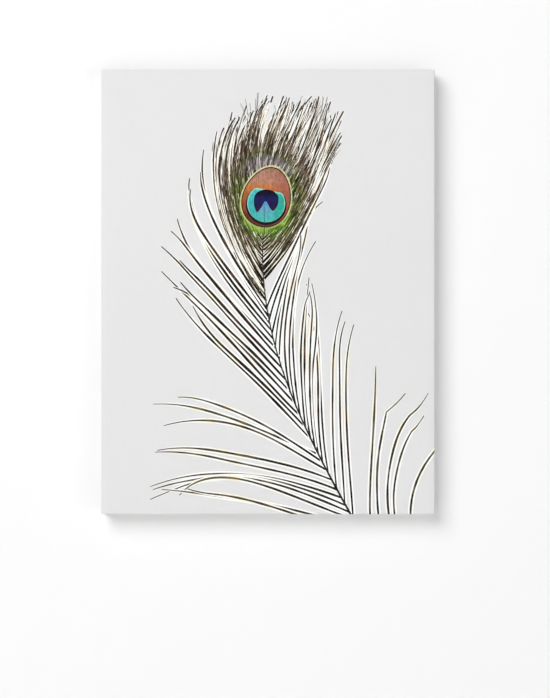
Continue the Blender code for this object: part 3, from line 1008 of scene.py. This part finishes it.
LOOSE = 24
FLUFF, FLUFF_COLUMNS = 1300, 12
BRIGHT = 56
edges = Ink("head_edges", HEAD_BARBS)
fringe = Ink("head_fringe", HEAD_BARBS)
ribs = Ink("head_ribs", HEAD_BARBS + LOOSE)
order = sorted(range(HEAD_BARBS), key=lambda n: abs(n / (HEAD_BARBS - 1) - 0.5))
head_lines = []
for n in order:
    q = (len(HEAD) - 1) * min(1, max(0, (n + rng.uniform(-0.3, 0.3)) / (HEAD_BARBS - 1)))
    line = head_barb(q, rng.uniform(0.15, 0.85), 1.3)
    line = hooked(line, rng.uniform(-14, 14))
    near = np.clip((2.2 - eye_reach(line)) / 0.8, 0, 1)
    t = np.linspace(0, 1, len(line))
    run = np.linalg.norm(line - line[0], axis=1)
    full = (2.0 + 2.4 * near) * np.clip(run / 16, 0.3 + 0.5 * near, 1)
    full *= np.clip((1 - t) / 0.2, 0.4, 1)
    level = ribs.count % LEVELS
    head_lines.append(line)
    edges.stroke(line, full + 2.2 - 1.8 * near, level)
    fringe.stroke(line, full * np.array([rng.uniform(0.8, 1.12) for _ in t]), level + 0.35)
    root, low = (2.3, 1.8) if line[0][1] < 28 else (1.0, 1.4)
    ribs.stroke(line, bristly((root, low, 1.6, 1.6, 1.0)), level + 0.7, shift=rng.uniform(-0.7, 0.7))
for n in range(LOOSE):
    q = (len(HEAD) - 1) * rng.uniform(0.04, 0.9)
    line = hooked(head_barb(q, rng.uniform(0, 0.4), 2.5), rng.uniform(-50, 50), 0.25)
    line = line[int(len(line) * 0.5):]
    ribs.stroke(line, (0.5, 0.55, 0.4, 0.3), LEVELS + 1)

fluff = Ink("loose_barbules", FLUFF, FLUFF_COLUMNS)
while fluff.count < FLUFF:
    line = rng.choice(head_lines)
    start = rng.randrange(2, len(line) - 5)
    reach = eye_reach(line[start:start + 1])[0]
    if reach < 0.97 or rng.random() > (1.0 if reach < 1.8 else 0.25):
        continue
    part = line[start:start + (4 if reach < 1.75 else rng.randint(4, 7))]
    part = hooked(part, rng.uniform(-18, 18), 1.0)
    part = part + [rng.uniform(-1.7, 1.7), rng.uniform(-1.5, 1.5)]
    fluff.stroke(part, (0.35, 0.75, 0.6, 0.2), LEVELS + 3 + fluff.count % 5)

gleams = Ink("bright_barbs", BRIGHT)
while gleams.count < BRIGHT:
    line = rng.choice(head_lines)
    start, stop = rng.randrange(2, len(line) - 7), rng.randrange(9, 26)
    part = line[start:start + stop] + [rng.uniform(-1.2, 1.2), rng.uniform(-1.2, 1.2)]
    if eye_reach(part).min() > 1.65:
        gleams.stroke(part, (0.3, 0.75, 0.85, 0.75, 0.3), LEVELS + 8)

gleams.laid(make_pale_ink("gleam_ink", (0.94, 0.91, 0.80)))
edges.laid(make_pale_ink("cream_ink", (0.84, 0.81, 0.64)))
fringe.laid(make_fringe_ink("fringe_ink", one_tone=False))
fluff.laid(make_fringe_ink("barbule_ink", one_tone=True))
RIB_ROOT, RIB_TIP, RIB_PATCH = (0.008, 0.006, 0.004), (0.025, 0.016, 0.011), (0.085, 0.045, 0.03)
ribs.laid(make_dark_ink("rib_ink", RIB_ROOT, RIB_TIP, RIB_PATCH))


# ---- Printed feather: the eye ---------------------------------------------------------
# The eye is bands of colour laid one on another: a lime glow, a pale rim, a bronze egg, a dark
# crescent, a turquoise disc with a flattened top, and a deep blue heart with its lobes down.
EYE_LEAN = math.radians(15)
EYE_TAPER = 0.134
DISC = (-1.5, 79.6)
DISC_RADIUS = 17.2
DISC_TOP, DISC_SLOPE = 93.4, 0.2
HEART = (
    (-12.5, 79.5), (-12, 86), (-8, 90.4), (-1.5, 92), (5, 90.4), (9.2, 86), (9.3, 80), (7.5, 75.5),
    (4.4, 72.8), (1.8, 75.5), (-2.1, 81.5), (-6.3, 75.3), (-9.6, 71.6), (-11.6, 75),
)
NOTCH = ((-2.1, 83), (1.6, 77), (5.6, 71.6), (2.6, 67.6), (-3.6, 66.4), (-9.6, 69), (-6.6, 76))


TURNS = np.linspace(0, 2 * math.pi, 96, endpoint=False)


def egg(grow, drop=0.0):
    """The eye's outline: an egg with its blunt end down, leaning to the right."""
    x = EYE_HALF[0] * np.sin(TURNS) * (1 - EYE_TAPER * np.cos(TURNS)) * grow
    z = EYE_HALF[1] * np.cos(TURNS) * grow
    c, s = math.cos(EYE_LEAN), math.sin(EYE_LEAN)
    return np.stack([EYE[0] + x * c + z * s, EYE[1] - drop - x * s + z * c], 1)


def disc(grow, drop=0.0):
    """A round outline whose top is flattened and slopes down to the right."""
    ring = DISC_RADIUS * grow * np.stack([np.sin(TURNS), np.cos(TURNS)], 1)
    top = (DISC_TOP - DISC[1]) * grow - DISC_SLOPE * (ring[:, 0] + 8)
    ring[:, 1] = np.minimum(ring[:, 1], top)
    for _ in range(6):
        ring = (np.roll(ring, 1, axis=0) + 2 * ring + np.roll(ring, -1, axis=0)) / 4
    return ring + (DISC[0], DISC[1] - drop)


def smooth_ring(points, each=8):
    """A closed round outline through a few points."""
    points = np.array(points, float)
    ring = []
    for i in range(len(points)):
        a, b, c, d = (points[(i + j) % len(points)] for j in (-1, 0, 1, 2))
        for t in np.arange(each) / each:
            bow = 2 * a - 5 * b + 4 * c - d + t * (3 * (b - c) + d - a)
            ring.append(b + 0.5 * t * (c - a + t * bow))
    return ring


FAN_FOOT = (-3, 20)


def ramped(tree, value, stops):
    """A colour that passes through stops, each a place along value and its colour."""
    colour = stops[0][1]
    for (low, _), (high, nxt) in zip(stops, stops[1:]):
        colour = mixed(tree, between(tree, value, low, high), colour, nxt)
    return colour


def eye_layer(name, outline, level, up, streak, amount, across=None):
    """One band of the eye. up is its colours from the bottom to the top, and across is any
    tint that comes in to the right: from and to where, its colour and its share. streak is
    the colour of the fine barbules that spread from FAN_FOOT, and amount is their share."""
    material, tree, shader = finish_named(name + "_ink", up[0][1], 0.8, Specular_IOR_Level=MATT)
    weave_bump(tree, shader, 0.4)
    parts = wire(tree, "SeparateXYZ", picture_place(tree, EYE)).outputs
    colour = ramped(tree, parts["Z"], up)
    if across:
        low, high, tint, share = across
        colour = mixed(tree, between(tree, parts["X"], low, high, 0, share), colour, tint)
    fan = wire(tree, "SeparateXYZ", picture_place(tree, FAN_FOOT)).outputs
    angle = maths(tree, "ARCTAN2", fan["X"], fan["Z"])
    turn, height = maths(tree, "MULTIPLY", angle, 95.0), maths(tree, "MULTIPLY", fan["Z"], 0.05)
    hairs = noise(tree, wire(tree, "CombineXYZ", turn, height).outputs[0], 1.0, 3.0)
    share = maths(tree, "MULTIPLY", between(tree, hairs, 0.42, 0.66), amount)
    colour = mixed(tree, share, colour, streak)
    lightness = between(tree, noise(tree, own_place(tree), 420.0, 3.0), 0.3, 0.7, 0.86, 1.16)
    blotted = wire(tree, "HueSaturation", Value=lightness, Color=colour)
    coloured(tree, shader, blotted.outputs[0])
    layer = Ink(name)
    layer.shape(outline, LEVELS + level)
    layer.laid(material)


eye_layer(
    "eye_glow", egg(1.03, drop=4.2), 2.2,
    ((-38, (0.10, 0.17, 0.04)), (-30, (0.30, 0.50, 0.08)), (-26, (0.40, 0.60, 0.11))),
    (0.05, 0.09, 0.015), 0.8,
)
eye_layer(
    "eye_rim", egg(1.02), 9,
    ((-28, (0.30, 0.46, 0.09)), (-12, (0.55, 0.60, 0.26)), (26, (0.68, 0.62, 0.38))),
    (0.34, 0.34, 0.12), 0.5,
)
eye_layer("eye_outline", egg(0.965), 10.5, ((0, (0.055, 0.022, 0.010)),), (0.02, 0.02, 0.01), 0.4)
eye_layer(
    "eye_bronze", egg(0.925), 12,
    (
        (-26, (0.10, 0.022, 0.055)), (-19, (0.13, 0.018, 0.014)), (-8, (0.26, 0.060, 0.022)),
        (2, (0.40, 0.11, 0.030)), (9, (0.56, 0.18, 0.055)), (14, (0.48, 0.23, 0.155)),
        (24, (0.40, 0.21, 0.15)),
    ),
    (0.17, 0.10, 0.05), 0.55, across=(0, 16, (0.38, 0.11, 0.10), 0.6),
)
eye_layer(
    "eye_dark_band", disc(1.07, drop=1.3), 13.5,
    ((0, (0.010, 0.006, 0.007)),),
    (0.05, 0.012, 0.01), 0.35,
)
eye_layer("eye_mint_edge", disc(1.0), 15, ((0, (0.26, 0.66, 0.50)),), (0.10, 0.48, 0.45), 0.4)
eye_layer(
    "eye_turquoise", disc(0.955, drop=0.7), 16.5,
    ((-22, (0.09, 0.48, 0.43)), (-12, (0.055, 0.42, 0.42)), (4, (0.07, 0.50, 0.50))),
    (0.012, 0.22, 0.28), 0.45, across=(2, 14, (0.025, 0.38, 0.22), 0.75),
)
eye_layer(
    "eye_notch", smooth_ring(NOTCH), 18,
    ((-17, (0.09, 0.44, 0.42)), (-10, (0.13, 0.36, 0.52)), (-4, (0.10, 0.26, 0.58))),
    (0.05, 0.20, 0.36), 0.4,
)
eye_layer(
    "eye_heart", smooth_ring(HEART), 19.5,
    (
        (-13, (0.040, 0.008, 0.030)), (-7, (0.011, 0.011, 0.060)), (-2, (0.009, 0.015, 0.095)),
        (4, (0.003, 0.003, 0.012)),
    ),
    (0.030, 0.006, 0.026), 0.5,
)

MIDLINE = ((-3.2, 52), (-3.2, 60), (-3.4, 68), (-3.0, 77))
midline = Ink("eye_midline", 1)
midline.stroke(curve(MIDLINE), (0.8, 0.55, 0.4, 0.2), LEVELS + 21)
midline.laid(make_dark_ink("midline_ink", (0.02, 0.02, 0.012), (0.02, 0.06, 0.06), (0.03, 0.03, 0.02)))


# ---- Staples, hanger and pins ---------------------------------------------------------
# Galvanised wire staples, a zinc-plated sawtooth strip, and two brass-plated pins.
def metal(name, colour, dull, roughness):
    """Plated metal in small crystals, some of them dull, with a cloudy sheen."""
    material, tree, shader = finish_named(name, colour, roughness, Metallic=1.0)
    spangle = wire(tree, "TexVoronoi", Vector=own_place(tree), Scale=420.0)
    share = maths(tree, "MULTIPLY", spangle.outputs["Color"], 0.35)
    coloured(tree, shader, mixed(tree, share, colour, dull))
    cloud = noise(tree, own_place(tree), 140.0, 2.0)
    rough = between(tree, cloud, 0.3, 0.7, roughness - 0.06, roughness + 0.08)
    tree.links.new(rough, shader.inputs["Roughness"])
    bumped(tree, shader, cloud, 0.08, 0.0002)
    return material


staple_steel = metal("galvanised_wire", (0.70, 0.71, 0.72), (0.52, 0.53, 0.55), 0.34)
zinc_plate = metal("zinc_plate", (0.78, 0.79, 0.80), (0.62, 0.63, 0.66), 0.28)
brass_plate = metal("brass_plate", (0.80, 0.62, 0.30), (0.62, 0.44, 0.18), 0.30)
for name, node in nodes.items():
    if name.startswith("staple_"):
        node.material_slots[0].material = staple_steel
nodes["sawtooth_hanger"].material_slots[0].material = zinc_plate
for side in ("left", "right"):
    nodes["hanger_pin_" + side].material_slots[0].material = brass_plate


# ---- Wall pads ------------------------------------------------------------------------
# Soft black pads, stuck on at the lower corners to keep the print off the wall.
rubber, tree, shader = finish_named("pad_rubber", (0.03, 0.03, 0.032), 0.75)
cells = noise(tree, own_place(tree), 2600.0, 3.0)
coloured(tree, shader, mixed(tree, cells, (0.02, 0.02, 0.022), (0.05, 0.05, 0.053)))
bumped(tree, shader, cells, 0.4, 0.0002)
for side in ("left", "right"):
    nodes["wall_pad_" + side].material_slots[0].material = rubber

low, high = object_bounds()
